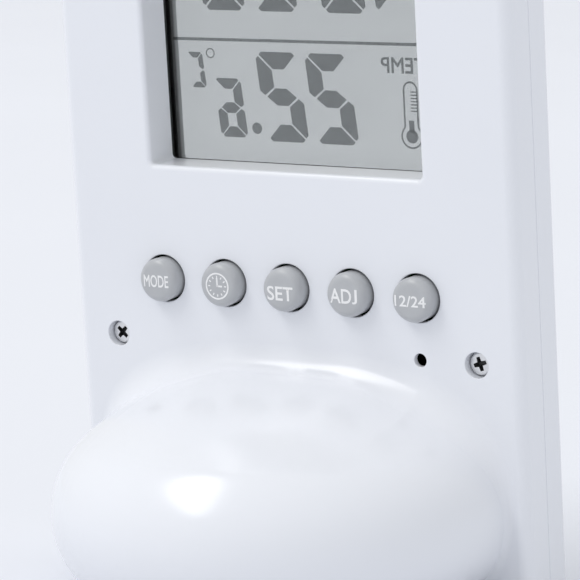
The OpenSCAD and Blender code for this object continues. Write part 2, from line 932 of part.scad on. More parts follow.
module battery_door() {
    color(white)
        difference() {
            union() {
                translate([-door_half, hinge_y, pad_h])
                    cube([2 * door_half, door_back - hinge_y, door_t]);
                translate([0, hinge_y, hinge_z])
                    rotate([0, 90, 0])
                        cylinder(d = door_t, h = 2 * door_half, center = true);
                translate([0, hinge_y, hinge_z])
                    rotate([0, 90, 0])
                        cylinder(r = hinge_r, h = 2 * (door_half + hinge_l), center = true);
                translate([-latch_w / 2, door_back - latch_t, pad_h + door_t - eps])
                    cube([latch_w, latch_t, latch_h]);
            }
            translate([0, door_back, pad_h - eps])
                cylinder(r = thumb_r, h = thumb_depth);
        }
}

module cell(y, s) {
    translate([s * (bay_half - plate_t - bump_h), y, cell_z])
        rotate([0, -90 * s, 0]) {
            translate([0, 0, nub_l])
                cylinder(d = cell_d, h = cell_l - nub_l);
            cylinder(d = nub_d, h = nub_l + eps);
        }
}

module battery_cells() {
    color([0.25, 0.3, 0.35]) {
        cell(rear_cell_y, 1);
        cell(front_cell_y, -1);
    }
}

// A round tube along points, none of its steps along the given reference direction
function unit(v) = v / norm(v);
module tube(points, r, sides, reference) {
    n = len(points);
    rings = [for (i = [0 : n - 1])
        let (along = unit(points[min(i + 1, n - 1)] - points[max(i - 1, 0)]))
        let (side = unit(cross(along, reference)))
        let (up = cross(side, along))
        for (k = [0 : sides - 1])
            points[i] + r * (cos(360 * k / sides) * side + sin(360 * k / sides) * up)];
    skin = [for (i = [0 : n - 2], k = [0 : sides - 1])
        let (a = i * sides + k)
        let (b = i * sides + (k + 1) % sides)
        each [[a, a + sides, b + sides], [a, b + sides, b]]];
    first = [for (k = [0 : sides - 1]) k];
    last = [for (k = [sides - 1 : -1 : 0]) (n - 1) * sides + k];
    polyhedron(rings, concat([first, last], skin));
}

module spring(y, s) {
    rise = spring_l - bump_h - wire_d - 2 * eps;
    last = spring_turns * spring_steps;
    points = [for (i = [0 : last])
        let (f = i / last)
        let (r = spring_wide + (spring_narrow - spring_wide) * f)
        [s * (bay_half - plate_t - wire_d / 2 - eps - rise * f),
         y + r * cos(360 * i / spring_steps), cell_z + r * sin(360 * i / spring_steps)]];
    tube(points, wire_d / 2, wire_sides, [1, 0, 0]);
}

module battery_springs() {
    color(steel) {
        spring(rear_cell_y, -1);
        spring(front_cell_y, 1);
    }
}

module contact_plate(y, s) {
    translate([s * (bay_half - plate_t / 2), y, cell_z])
        cube([plate_t, contact_w, contact_w], center = true);
}

module contact_bump(y, s) {
    translate([s * (bay_half - plate_t / 2), y, cell_z])
        rotate([0, -90 * s, 0])
            cylinder(d = bump_d, h = plate_t / 2 + bump_h);
}

// The tab that goes up through the ceiling to its lead
module contact_tab(y) {
    translate([-bay_half, y - tab_w / 2, cell_z])
        cube([plate_t, tab_w, bay_top + cell_wall + tab_rise - cell_z]);
}

module contact_positive() {
    color(steel)
        union() {
            contact_plate(front_cell_y, -1);
            contact_bump(front_cell_y, -1);
            contact_tab(front_cell_y);
        }
}

module contact_negative() {
    color(steel)
        union() {
            contact_plate(rear_cell_y, -1);
            contact_tab(rear_cell_y);
        }
}

module contact_link() {
    color(steel)
        union() {
            contact_plate(front_cell_y, 1);
            contact_plate(rear_cell_y, 1);
            contact_bump(rear_cell_y, 1);
            translate([bay_half - plate_t, front_cell_y, cell_z - contact_w / 2])
                cube([plate_t, rear_cell_y - front_cell_y, contact_w]);
        }
}

// A lead rises from its contact's tab and bends over to the foot of the board
function lead_route(y, x) =
    let (start = [-bay_half + plate_t + lead_d / 2, y, bay_top + cell_wall + lead_lift])
    let (end = plate_point(x, -board_back + lead_d / 2 + fit_gap, -tongue_drop + lead_in))
    let (rise = start + [0, 0, lead_rise])
    let (drop = (end[2] - rise[2]) / cos(lean))
    let (under = plate_point(x, -board_back + lead_d / 2 + fit_gap, -tongue_drop + lead_in - drop))
    [for (i = [0 : lead_steps])
        let (f = i / lead_steps)
        pow(1 - f, 3) * start + 3 * f * pow(1 - f, 2) * rise + 3 * f * f * (1 - f) * under + pow(f, 3) * end];

module lead_positive() {
    color([0.7, 0.1, 0.1])
        tube(lead_route(front_cell_y, lead_apart / 2 - lead_x), lead_d / 2, tube_sides, [1, 0, 0]);
}

module lead_negative() {
    color(black)
        tube(lead_route(rear_cell_y, -lead_apart / 2 - lead_x), lead_d / 2, tube_sides, [1, 0, 0]);
}

module rubber_feet() {
    color([0.2, 0.2, 0.21])
        for (s = [-1, 1]) {
            translate([s * pad_rear_x, cells_y + pad_back, 0])
                cylinder(d = pad_d, h = pad_h);
            translate([s * pad_front_x, plate_y + front_y + pad_front_in + pad_d / 2, 0])
                cylinder(d = pad_d, h = pad_h);
        }
}

rear_shell();
front_bezel();
front_lens();
lcd_front_polarizer();
lcd_front_glass();
lcd_rear_glass();
lcd_rear_polarizer();
lcd_gasket();
lcd_ribbon();
main_board();
driver_chip();
crystal();
board_components();
thermistor();
buzzer();
tact_switches();
reset_plunger();
key_cap(0);  // button_mode
key_cap(1);  // button_alarm
key_cap(2);  // button_set
key_cap(3);  // button_adjust
key_cap(4);  // button_format
key_plunger(0);  // plunger_mode
key_plunger(1);  // plunger_alarm
key_plunger(2);  // plunger_set
key_plunger(3);  // plunger_adjust
key_plunger(4);  // plunger_format
case_screws();
board_screws();
battery_door();
battery_cells();
battery_springs();
contact_positive();
contact_negative();
contact_link();
lead_positive();
lead_negative();
rubber_feet();
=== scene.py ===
"""Looks of the see-through desk clock: moulded case, keys, display and the table it stands on."""

import json
import math

import bmesh
import bpy
from mathutils import Matrix, Quaternion, Vector
from mathutils.geometry import delaunay_2d_cdt


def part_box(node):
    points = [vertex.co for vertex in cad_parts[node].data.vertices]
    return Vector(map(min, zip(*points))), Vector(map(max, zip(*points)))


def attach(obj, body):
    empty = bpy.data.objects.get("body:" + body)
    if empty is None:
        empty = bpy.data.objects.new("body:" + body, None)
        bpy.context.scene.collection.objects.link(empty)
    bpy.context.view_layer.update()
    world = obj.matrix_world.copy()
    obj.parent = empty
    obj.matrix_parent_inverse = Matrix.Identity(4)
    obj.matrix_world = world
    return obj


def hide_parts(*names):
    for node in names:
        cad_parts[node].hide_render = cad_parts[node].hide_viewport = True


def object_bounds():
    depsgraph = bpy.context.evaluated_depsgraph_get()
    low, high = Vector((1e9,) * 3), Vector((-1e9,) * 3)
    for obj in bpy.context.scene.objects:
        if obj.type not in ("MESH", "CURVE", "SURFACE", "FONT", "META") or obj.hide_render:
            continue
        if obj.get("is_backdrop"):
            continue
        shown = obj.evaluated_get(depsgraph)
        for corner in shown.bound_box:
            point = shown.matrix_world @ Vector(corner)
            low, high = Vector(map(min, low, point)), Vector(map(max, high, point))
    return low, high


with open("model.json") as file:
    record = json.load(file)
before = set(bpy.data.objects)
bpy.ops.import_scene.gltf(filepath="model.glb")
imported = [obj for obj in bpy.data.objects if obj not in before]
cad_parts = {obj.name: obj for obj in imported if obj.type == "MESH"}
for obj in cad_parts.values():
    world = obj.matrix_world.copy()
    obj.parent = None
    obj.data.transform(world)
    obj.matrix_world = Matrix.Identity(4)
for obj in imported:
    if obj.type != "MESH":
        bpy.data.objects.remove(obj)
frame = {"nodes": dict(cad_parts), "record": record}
cad_low, cad_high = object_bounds()
record = frame["record"]
joints = {j["name"]: j for j in record["behaviour"]["joints"]}

# Sizes of the CAD model in millimetres
CASE_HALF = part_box("rear_shell")[1].x * 1000
CASE_TOP, CASE_T, PARTING = 87.0, 13.0, 6.5
CORNER_R, EDGE_R, GROOVE, SEAM_GAP, SEAM_IN = 8.0, 2.0, 0.16, 0.05, 1.0
WINDOW_W, WINDOW_LOW, WINDOW_TOP, WINDOW_R = 51.0, 18.8, 70.8, 0.8
LIP_R, RECESS, COLLAR_T, FRONT_MARGIN = 0.85, 6.6, 1.6, 1.0
LENS_BORDER, LENS_GAP, LENS_BACK, LENS_FRONT = 2.0, 0.15, 11.6, 12.8
GLASS_BORDER, LEDGE, GLASS_T, GLASS_R = 3.0, 3.1, 1.0, 0.4
FILM_REAR, GLASS_REAR, LC_PLANE, GLASS_FRONT, FILM_FRONT = 7.3, 7.45, 8.5, 9.55, 9.7
OPENING_BACK, OPENING_GAP, OPENING_R = 9.8, 0.3, 1.2
KEY_PITCH, KEY_R, KEY_TOP, KEY_ROUND, KEY_LOW = 12.0, 3.6, 2.5, 1.2, -1.6
SCREW_X, SCREW_V, SCREW_R, SCREW_DEPTH, SCREW_BORE = 34.0, -10.0, 2.1, 2.2, 1.15
HEAD_R, SHANK_R, SHANK_L = 1.9, 0.95, 7.8
PIN_X, PIN_R, WALL = -23.9, 1.1, 2.0
FOOT_R, AXIS_H, FOOT_DROP, FOOT_BACK = 14.5, 14.2, 34.4, 3.4
BLEND_DROP, BLEND_R, BLEND_POWER, FOOT_HALF, END_BLEND = 9.3, 4.2, 2.8, 39.6, 1.4
FOOT_RUN = FOOT_HALF - FOOT_R - END_BLEND
PAD_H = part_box("rubber_feet")[1].z * 1000
BASE_TOP, BAY_TOP, BAY_HALF, BAY_LEDGE, BAY_GAP, DOOR_GAP = 3.4, 14.7, 25.8, 0.8, 0.4, 0.3
CASE_LOW = -56.0

# Sizes that are set here by the photo, close to the CAD model's
KEY_HOLE, KEY_SIDE, HEAD_SUNK, REVEAL_R = 3.94, 3.56, 1.15, 0.5
TOP_R, SLOPE_HALF, FADE_HALF = 88.0, 8.0, 38.0
MIDDLE_PART, END_PART = 0.75, 0.92
KEY_RIM, SCREW_RIM, PIN_RIM = 0.18, 0.12, 0.14
PRINT_LIFT, BOLD = 0.02, 0.016

press = Vector(joints["set_press"]["axis"])
COS, SIN = -press.y, press.z
ROW_H = AXIS_H + FOOT_DROP * COS
PLATE_Y = cad_high.y * 1000 - ((FOOT_BACK + FOOT_RUN) * COS - FOOT_DROP * SIN + FOOT_R)
KEYS = ["mode", "alarm", "set", "adjust", "format"]


def turn(x, w, v):
    """A direction given across the plate, out of its back and up it, in the frame's axes."""
    return Vector((x, w * COS + v * SIN, v * COS - w * SIN))


def at(x, w, v):
    """A point given in millimetres on the plate: x as in the frame, w out of the back, v up from the keys."""
    return (turn(x, w, v) + Vector((0, PLATE_Y, ROW_H))) * 0.001


class Skin:
    """A mesh built from strips and filled outlines, welded at the end."""

    def __init__(self):
        self.bm = bmesh.new()

    def strip(self, rows, closed=False):
        """Joins rows of the same number of points by four-sided faces."""
        rings = [[self.bm.verts.new(p) for p in row] for row in rows]
        for a, b in zip(rings, rings[1:]):
            n = len(a)
            for i in range(n if closed else n - 1):
                j = (i + 1) % n
                self.bm.faces.new((a[i], a[j], b[j], b[i]))

    def fill(self, loops, place):
        """Fills the area between closed 2-D loops, counting a loop within a loop as a hole."""
        points, edges = [], []
        for loop in loops:
            first, n = len(points), len(loop)
            points += [Vector(p) for p in loop]
            edges += [(first + i, first + (i + 1) % n) for i in range(n)]
        found = delaunay_2d_cdt(points, edges, [], 2, 1e-5)
        verts = [self.bm.verts.new(place(p.x, p.y)) for p in found[0]]
        for face in found[2]:
            middle = sum((found[0][i] for i in face), Vector((0, 0))) / len(face)
            if sum(inside(middle, loop) for loop in loops) % 2:
                self.bm.faces.new([verts[i] for i in face])

    def weld(self):
        """Joins points that meet."""
        bmesh.ops.remove_doubles(self.bm, verts=self.bm.verts, dist=2e-6)
        bmesh.ops.dissolve_degenerate(self.bm, edges=self.bm.edges, dist=1e-7)

    def cut_below(self, height):
        """Cuts all below a height in millimetres and returns the cut's outline in order, as x and y."""
        self.weld()
        z = height * 0.001
        bmesh.ops.bisect_plane(self.bm, geom=self.bm.verts[:] + self.bm.edges[:] + self.bm.faces[:],
                               dist=1e-8, plane_co=(0, 0, z), plane_no=(0, 0, 1), clear_inner=True)
        links = {}
        for e in self.bm.edges:
            a, b = e.verts
            if abs(a.co.z - z) < 1e-7 and abs(b.co.z - z) < 1e-7 and e.is_boundary:
                links.setdefault(a, []).append(b)
                links.setdefault(b, []).append(a)
        here = max((v for v in links if len(links[v]) == 1), key=lambda v: v.co.x)
        chain, last = [here], None
        while True:
            ahead = [v for v in links[chain[-1]] if v is not last]
            if not ahead:
                break
            last = chain[-1]
            chain.append(ahead[0])
        return [(v.co.x * 1000, v.co.y * 1000) for v in chain]

    def finish(self, name, material, body="case", slot=None, nodes=(), angle=32):
        """Turns the mesh into a piece, with edges over that angle kept sharp."""
        self.weld()
        bmesh.ops.recalc_face_normals(self.bm, faces=self.bm.faces)
        mesh = bpy.data.meshes.new(name)
        self.bm.to_mesh(mesh)
        self.bm.free()
        return piece(mesh, name, material, body, nodes, angle)


def piece(mesh, name, material, body, nodes, angle):
    """Makes a shaded object of a mesh and ties it to its body and replaced nodes."""
    mesh.polygons.foreach_set("use_smooth", [True] * len(mesh.polygons))
    mesh.set_sharp_from_angle(angle=math.radians(angle))
    obj = bpy.data.objects.new(name, mesh)
    bpy.context.scene.collection.objects.link(obj)
    mesh.materials.append(material)
    normals = obj.modifiers.new("face_weighted", "WEIGHTED_NORMAL")
    normals.keep_sharp = True
    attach(obj, body)
    if nodes:
        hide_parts(*nodes)
    return obj


def inside(p, loop):
    """Tells if a 2-D point lies within a closed loop."""
    hit, q = False, loop[-1]
    for r in loop:
        if (r[1] > p.y) != (q[1] > p.y) and p.x < (q[0] - r[0]) * (p.y - r[1]) / (q[1] - r[1]) + r[0]:
            hit = not hit
        q = r
    return hit


def ring(cx, cv, r, n):
    """A closed circle of n points."""
    return [(cx + r * math.cos(2 * math.pi * i / n), cv + r * math.sin(2 * math.pi * i / n)) for i in range(n)]


def rect_loop(half, low, top, r, n=8):
    """A closed rectangle with rounded corners, n steps each."""
    spots = [(half - r, top - r), (r - half, top - r), (r - half, low + r), (half - r, low + r)]
    return [(x + r * math.cos(a), v + r * math.sin(a))
            for k, (x, v) in enumerate(spots)
            for a in [math.pi / 2 * (k + i / n) for i in range(n + 1)]]


def window_loop(grow, r, n=8):
    """The window's outline drawn out by grow, with corners of radius r."""
    return rect_loop(WINDOW_W / 2 + grow, WINDOW_LOW - grow, WINDOW_TOP + grow, r, n)


def case_line(inset, n=14):
    """The case's outline drawn in by inset, up one side, over the top and down the other."""
    half, top, r = CASE_HALF - inset, CASE_TOP - inset, CORNER_R - inset
    line = [(half, CASE_LOW)]
    for k, x in enumerate((half - r, r - half)):
        line += [(x + r * math.cos(a), top - r + r * math.sin(a))
                 for a in [math.pi / 2 * (k + i / n) for i in range(n + 1)]]
    return line + [(-half, CASE_LOW)]


def lift(loop, w):
    """A 2-D loop placed at a height out of the plate's back."""
    return [at(x, w, v) for x, v in loop]


def arc(n, start=0.0, end=90.0):
    """Angles in radians from start to end degrees, in n steps."""
    return [math.radians(start + (end - start) * i / n) for i in range(n + 1)]


# Materials


def new_material(name):
    """An empty node material with its shader."""
    material = bpy.data.materials.new(name)
    material.use_nodes = True
    tree = material.node_tree
    return material, tree, tree.nodes["Principled BSDF"]


def add(tree, kind, **sockets):
    """A node with those input values."""
    node = tree.nodes.new(kind)
    for name, value in sockets.items():
        node.inputs[name.replace("_", " ")].default_value = value
    return node


def spread(tree, source, low, high):
    """A colour ramp from low to high over the middle of a noise."""
    ramp = tree.nodes.new("ShaderNodeValToRGB")
    for stop, place, value in zip(ramp.color_ramp.elements, (0.3, 0.7), (low, high)):
        stop.position = place
        stop.color = (*value, 1) if isinstance(value, tuple) else (value, value, value, 1)
    tree.links.new(source, ramp.inputs["Fac"])
    return ramp.outputs["Color"]


def surface(name, dark, light, rough, metallic=0.0, patch=60.0, grain=900.0, depth=0.1, step=2e-5, specular=0.5):
    """Colour and roughness that wander a little in patches, over a fine grain."""
    material, tree, shader = new_material(name)
    place = tree.nodes.new("ShaderNodeTexCoord").outputs["Object"]
    broad = add(tree, "ShaderNodeTexNoise", Scale=patch, Detail=4.0)
    fine = add(tree, "ShaderNodeTexNoise", Scale=grain, Detail=2.0)
    for node in (broad, fine):
        tree.links.new(place, node.inputs["Vector"])
    tree.links.new(spread(tree, broad.outputs["Fac"], dark, light), shader.inputs["Base Color"])
    tree.links.new(spread(tree, broad.outputs["Fac"], *rough), shader.inputs["Roughness"])
    bump = add(tree, "ShaderNodeBump", Strength=depth, Distance=step)
    tree.links.new(fine.outputs["Fac"], bump.inputs["Height"])
    tree.links.new(bump.outputs["Normal"], shader.inputs["Normal"])
    shader.inputs["Metallic"].default_value = metallic
    shader.inputs["Specular IOR Level"].default_value = specular
    return material


def depth_painted_shade(name, near, far, rough, near_w, far_w):
    """Plastic with painted shade: its colour goes from near to far between two depths under the back face, standing in
    for the shade down a recess.
    """
    material = surface(name, near, near, rough, grain=2500, depth=0.3)
    tree = material.node_tree
    depth = add(tree, "ShaderNodeVectorMath")
    depth.operation = "DOT_PRODUCT"
    depth.inputs[1].default_value = turn(0, 1, 0)
    tree.links.new(tree.nodes.new("ShaderNodeTexCoord").outputs["Object"], depth.inputs[0])
    share = tree.nodes.new("ShaderNodeMapRange")
    for socket, w in (("From Min", near_w), ("From Max", far_w)):
        share.inputs[socket].default_value = at(0, w, 0).dot(turn(0, 1, 0))
    tree.links.new(depth.outputs["Value"], share.inputs["Value"])
    tree.links.new(spread(tree, share.outputs["Result"], near, far), tree.nodes["Principled BSDF"].inputs["Base Color"])
    return material


def clear(name, tint, gloss, rough, patch=40.0):
    """A clear sheet: light passes with a tint, and a small share is mirrored."""
    material, tree, shader = new_material(name)
    tree.nodes.remove(shader)
    through = add(tree, "ShaderNodeBsdfTransparent", Color=(*tint, 1))
    mirror = tree.nodes.new("ShaderNodeBsdfGlossy")
    place = tree.nodes.new("ShaderNodeTexCoord").outputs["Object"]
    smear = add(tree, "ShaderNodeTexNoise", Scale=patch, Detail=3.0)
    tree.links.new(place, smear.inputs["Vector"])
    tree.links.new(spread(tree, smear.outputs["Fac"], *rough), mirror.inputs["Roughness"])
    share = tree.nodes.new("ShaderNodeMixShader")
    share.inputs["Fac"].default_value = gloss
    tree.links.new(through.outputs["BSDF"], share.inputs[1])
    tree.links.new(mirror.outputs["BSDF"], share.inputs[2])
    tree.links.new(share.outputs["Shader"], tree.nodes["Material Output"].inputs["Surface"])
    return material


white = surface("case_white", (0.80, 0.815, 0.855), (0.815, 0.83, 0.87), (0.16, 0.19),
                patch=30, grain=700, depth=0.03)
grey = surface("key_grey", (0.44, 0.45, 0.465), (0.47, 0.48, 0.495), (0.28, 0.34),
               patch=300, grain=9000, depth=0.2)
ink = surface("legend_white", (0.82, 0.82, 0.82), (0.88, 0.88, 0.88), (0.5, 0.6), patch=900, grain=12000)
by_slot = {
    "case_white": white,
    "key_grey": grey,
    "gasket_black": surface("gasket_black", (0.008, 0.008, 0.009), (0.02, 0.02, 0.022), (0.8, 0.95),
                            grain=5000, depth=0.6),
    "ribbon_amber": surface("ribbon_amber", (0.22, 0.11, 0.03), (0.34, 0.18, 0.06), (0.3, 0.4), grain=2500),
    "board_green": surface("board_green", (0.012, 0.10, 0.035), (0.03, 0.2, 0.07), (0.3, 0.45),
                           patch=260, grain=2400, depth=0.4),
    "moulded_black": surface("moulded_black", (0.012, 0.012, 0.013), (0.03, 0.03, 0.032), (0.4, 0.55),
                             grain=6000, depth=0.3),
    "ceramic_tan": surface("ceramic_tan", (0.36, 0.26, 0.14), (0.5, 0.38, 0.22), (0.4, 0.6), patch=500, grain=6000),
    "steel": surface("steel", (0.52, 0.52, 0.53), (0.68, 0.68, 0.69), (0.22, 0.34),
                     metallic=1.0, patch=700, grain=8000, depth=0.2),
    "buzzer_brass": surface("buzzer_brass", (0.62, 0.42, 0.14), (0.78, 0.58, 0.26), (0.25, 0.4),
                            metallic=1.0, patch=200, grain=5000),
    "cell_jacket": surface("cell_jacket", (0.05, 0.07, 0.1), (0.1, 0.13, 0.17), (0.2, 0.3), patch=80, grain=1500),
    "lead_red": surface("lead_red", (0.4, 0.02, 0.02), (0.52, 0.04, 0.03), (0.4, 0.5), grain=5000, depth=0.3),
    "lead_black": surface("lead_black", (0.012, 0.012, 0.012), (0.03, 0.03, 0.03), (0.4, 0.5),
                          grain=5000, depth=0.3),
    "pad_rubber": surface("pad_rubber", (0.02, 0.02, 0.021), (0.045, 0.045, 0.046), (0.7, 0.9),
                          grain=4000, depth=0.7),
}
screw_steel = surface("screw_steel", (0.70, 0.70, 0.71), (0.80, 0.80, 0.81), (0.3, 0.42),
                      metallic=1.0, patch=700, grain=8000, depth=0.2)
# The opening's inner wall is the bezel's white plastic; its dark-to-grey colour down its depth is painted shade.
reveal_painted_shade = depth_painted_shade("reveal_painted_shade", (0.03, 0.03, 0.032), (0.5, 0.51, 0.53), (0.4, 0.5), -OPENING_BACK, -LENS_BACK)
film = clear("display_film", (0.796, 0.799, 0.791), 0.02, (0.15, 0.3))
glass = clear("display_glass", (0.985, 0.99, 0.988), 0.012, (0.02, 0.05))
lens = clear("lens_clear", (0.975, 0.98, 0.98), 0.03, (0.03, 0.06))
segment = clear("display_segment", (0.345, 0.355, 0.36), 0.01, (0.2, 0.3))

# Rear shell


def superellipse(t):
    """A point of the blend's arch, from the foot's middle line."""
    half, rise, p = FOOT_HALF, FOOT_DROP - BLEND_DROP, 2 / BLEND_POWER
    c, s = math.cos(t), math.sin(t)
    return (math.copysign(half * abs(c) ** p, c), rise * abs(s) ** p)


def foot_outline(steps=88, end_steps=16):
    """The blend's edge on the plate from the foot's middle: an arch above, the rim's own outline below."""
    arch = [superellipse(math.pi * i / steps) for i in range(steps + 1)]
    across = sorted([x for x, _ in arch if abs(x) < FOOT_RUN] + [-FOOT_RUN, FOOT_RUN])
    arch += [(x, (FOOT_DROP - BLEND_DROP) * (1 - (abs(x) / FOOT_HALF) ** BLEND_POWER) ** (1 / BLEND_POWER))
             for x in (-FOOT_RUN, FOOT_RUN)]
    arch.sort(key=lambda p: (-p[0], p[1]))
    reach = FOOT_HALF - FOOT_RUN
    left = [(-FOOT_RUN - reach * math.cos(a), -reach * math.sin(a)) for a in arc(end_steps)[1:-1]]
    right = [(FOOT_RUN + reach * math.cos(a), -reach * math.sin(a)) for a in arc(end_steps, 90, 0)[1:-1]]
    return arch + left + [(x, -reach) for x in across] + right


def foot_section(p, blend_steps=14, slope_steps=8, rim_steps=24):
    """Points from the blend's edge on the plate down its hollow arc, over a wide top arc and the rim."""
    core = max(-FOOT_RUN, min(FOOT_RUN, p[0]))
    away = Vector((p[0] - core, p[1]))
    reach = away.length
    away /= reach

    def disc(q):
        level = math.sqrt(max(FOOT_R ** 2 - (q * away.y) ** 2, 0))
        return FOOT_BACK + math.sqrt(max((FOOT_RUN + level) ** 2 - (core + q * away.x) ** 2, 0))

    # The hollow arc is small across the middle and nearly fills the step to the rim at the ends
    share = min(max((abs(p[0]) - SLOPE_HALF) / (FADE_HALF - SLOPE_HALF), 0), 1) if p[1] > 0 else 1
    share = share * share * (3 - 2 * share)
    step = reach - FOOT_R
    r = min(BLEND_R, step * MIDDLE_PART)
    r += (step * END_PART - r) * share
    spots = [Vector((q, disc(q))) for q in [FOOT_R * math.sin(a) for a in arc(120, 90, 30)]]
    low, high = -0.3, 1.4
    for _ in range(40):
        slope = (low + high) / 2
        middle = Vector((reach, r)) - (TOP_R + r) * Vector((math.cos(slope), math.sin(slope)))
        last = max(spots, key=lambda spot: (spot - middle).length)
        low, high = (slope, high) if (last - middle).length < TOP_R else (low, slope)
    points = [(reach + r * math.cos(a), r + r * math.sin(a)) for a in arc(blend_steps, 270, 180 + math.degrees(slope))]
    end = math.degrees(math.atan2(last.y - middle.y, last.x - middle.x))
    points += [(middle.x + TOP_R * math.cos(a), middle.y + TOP_R * math.sin(a))
               for a in arc(slope_steps, math.degrees(slope), end)[1:]]
    start = math.degrees(math.asin(min(last.x / FOOT_R, 1)))
    points += [(FOOT_R * math.sin(a), disc(FOOT_R * math.sin(a))) for a in arc(rim_steps, start, 0)[1:]]
    return [at(core + q * away.x, w, q * away.y - FOOT_DROP) for q, w in points]


def hole(skin, cx, cv, r, rim, floor, inner=None, n=48):
    """A round hole with a rounded rim, down to a floor. Returns its edge on the back face."""
    rows = [lift(ring(cx, cv, r + rim * (1 - math.sin(a)), n), rim * (math.cos(a) - 1)) for a in arc(4)]
    rows.append(lift(ring(cx, cv, r, n), -floor))
    if inner:
        rows.append(lift(ring(cx, cv, inner, n), -floor))
        rows.append(lift(ring(cx, cv, inner, n), -PARTING))
    rows = [row + row[:1] for row in rows]
    skin.strip(rows)
    return ring(cx, cv, r + rim, n)


def key_x(i):
    """The place of a key across the plate."""
    return ((len(KEYS) - 1) / 2 - i) * KEY_PITCH


shell = Skin()
holes = [hole(shell, key_x(i), 0, KEY_HOLE, KEY_RIM, WALL) for i in range(len(KEYS))]
holes += [hole(shell, s * SCREW_X, SCREW_V, SCREW_R, SCREW_RIM, SCREW_DEPTH, inner=SCREW_BORE) for s in (-1, 1)]
holes.append(hole(shell, PIN_X, SCREW_V, PIN_R, PIN_RIM, WALL / 2, n=32))
lip = [(window_loop(e, WINDOW_R + e), w)
       for e, w in [(LIP_R * (1 - math.sin(a)), LIP_R * (math.cos(a) - 1)) for a in arc(8)]]
lip.append((lip[-1][0], -RECESS))
lip.append((window_loop(COLLAR_T, WINDOW_R + COLLAR_T), -RECESS))
shell.strip([lift(loop, w) for loop, w in lip], closed=True)
outline = foot_outline()
sections = [foot_section(p) for p in outline]
shell.strip([list(row) for row in zip(*sections)], closed=True)
edge = [(EDGE_R * (1 - math.sin(a)), EDGE_R * (math.cos(a) - 1)) for a in arc(10)]
edge += [(0, -PARTING + GROOVE), (GROOVE, -PARTING), (SEAM_IN, -PARTING)]
shell.strip([lift(case_line(inset), w) for inset, w in edge])
foot_edge = [(x, v - FOOT_DROP) for x, v in outline]
shell.fill([case_line(EDGE_R), lip[0][0], foot_edge] + holes, lambda x, v: at(x, 0, v))
under = shell.cut_below(PAD_H)
door_low, door_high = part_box("battery_door")
cells_low, cells_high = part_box("battery_cells")


def plan_box(half, front, rear, z):
    """Corners of a level rectangle, in order."""
    return [Vector((x * half, y, z)) * 0.001 for x, y in ((1, front), (1, rear), (-1, rear), (-1, front))]


door_half = BAY_HALF - BAY_LEDGE + DOOR_GAP
door_front, door_rear = door_low.y * 1000 - DOOR_GAP, door_high.y * 1000 + DOOR_GAP
bay_front, bay_rear = cells_low.y * 1000 - BAY_GAP, cells_high.y * 1000 + BAY_GAP
mouth = [(x * door_half, y) for x, y in ((1, door_front), (1, door_rear), (-1, door_rear), (-1, door_front))]
shell.fill([under, mouth], lambda x, y: Vector((x, y, PAD_H)) * 0.001)
bay = [plan_box(door_half, door_front, door_rear, PAD_H), plan_box(door_half, door_front, door_rear, BASE_TOP),
       plan_box(BAY_HALF, bay_front, bay_rear, BASE_TOP), plan_box(BAY_HALF, bay_front, bay_rear, BAY_TOP)]
shell.strip(bay, closed=True)
shell.strip([bay[3][:2], [bay[3][3], bay[3][2]]])
shell.finish("rear_case", white, slot="case_white", nodes=["rear_shell"])

# Front bezel

bezel = Skin()
seam = -PARTING - SEAM_GAP
face = [(SEAM_IN, seam), (GROOVE, seam), (0, -PARTING - GROOVE)]
face += [(EDGE_R * (1 - math.cos(a)), EDGE_R * (1 - math.sin(a)) - CASE_T) for a in arc(10)]
bezel.strip([lift(case_line(inset), w) for inset, w in face])
lens_edge = LENS_BORDER + LENS_GAP
rounded = [(0.35, -CASE_T), (0.12, 0.06 - CASE_T), (0, 0.3 - CASE_T), (0, -LENS_BACK)]
frame_rows = [(window_loop(lens_edge + grow, WINDOW_R + lens_edge + grow), w) for grow, w in rounded]
reveal = [(window_loop(FRONT_MARGIN, REVEAL_R), w) for w in (-LENS_BACK, -OPENING_BACK)]
frame_rows.append(reveal[0])
bezel.strip([lift(loop, w) for loop, w in frame_rows], closed=True)
bezel.fill([case_line(EDGE_R), frame_rows[0][0]], lambda x, v: at(x, -CASE_T, v))
sole = bezel.cut_below(PAD_H)
bezel.fill([sole], lambda x, y: Vector((x, y, PAD_H)) * 0.001)
bezel.finish("front_case", white, slot="case_white", nodes=["front_bezel"])
# The opening's wall and ledge as a piece of their own, coloured with the painted shade of the deep opening.
reveal.append((window_loop(GLASS_BORDER + OPENING_GAP, OPENING_R), -OPENING_BACK))
border = Skin()
border.strip([lift(loop, w) for loop, w in reveal], closed=True)
border.finish("window_border", reveal_painted_shade, slot="case_white")

# Keys and their generic legends


def flat_text(words):
    """Letters of the plain built-in font as a flat mesh in the x-y plane."""
    curve = bpy.data.curves.new("letters", "FONT")
    curve.body = words
    curve.resolution_u = 4
    obj = bpy.data.objects.new("letters", curve)
    bpy.context.scene.collection.objects.link(obj)
    mesh = bpy.data.meshes.new_from_object(obj.evaluated_get(bpy.context.evaluated_depsgraph_get()))
    bpy.data.objects.remove(obj)
    flat = bmesh.new()
    flat.from_mesh(mesh)
    bpy.data.meshes.remove(mesh)
    bmesh.ops.remove_doubles(flat, verts=flat.verts, dist=2e-3)
    return flat


def embolden(flat, grow, most=3.0):
    """Moves the outline of flat letters out by grow, up to a few times that at a sharp corner."""
    outward = {}
    for e in flat.edges:
        if not e.is_boundary:
            continue
        side = (e.verts[1].co - e.verts[0].co).cross(Vector((0, 0, 1))).normalized()
        if side.dot(e.link_faces[0].calc_center_median() - e.verts[0].co) > 0:
            side = -side
        for v in e.verts:
            outward.setdefault(v, []).append(side)
    for v, sides in outward.items():
        total = sum(sides, Vector())
        v.co += total * min(len(sides) / max(total.length_squared, 1e-6), most / max(total.length, 1e-3)) * grow


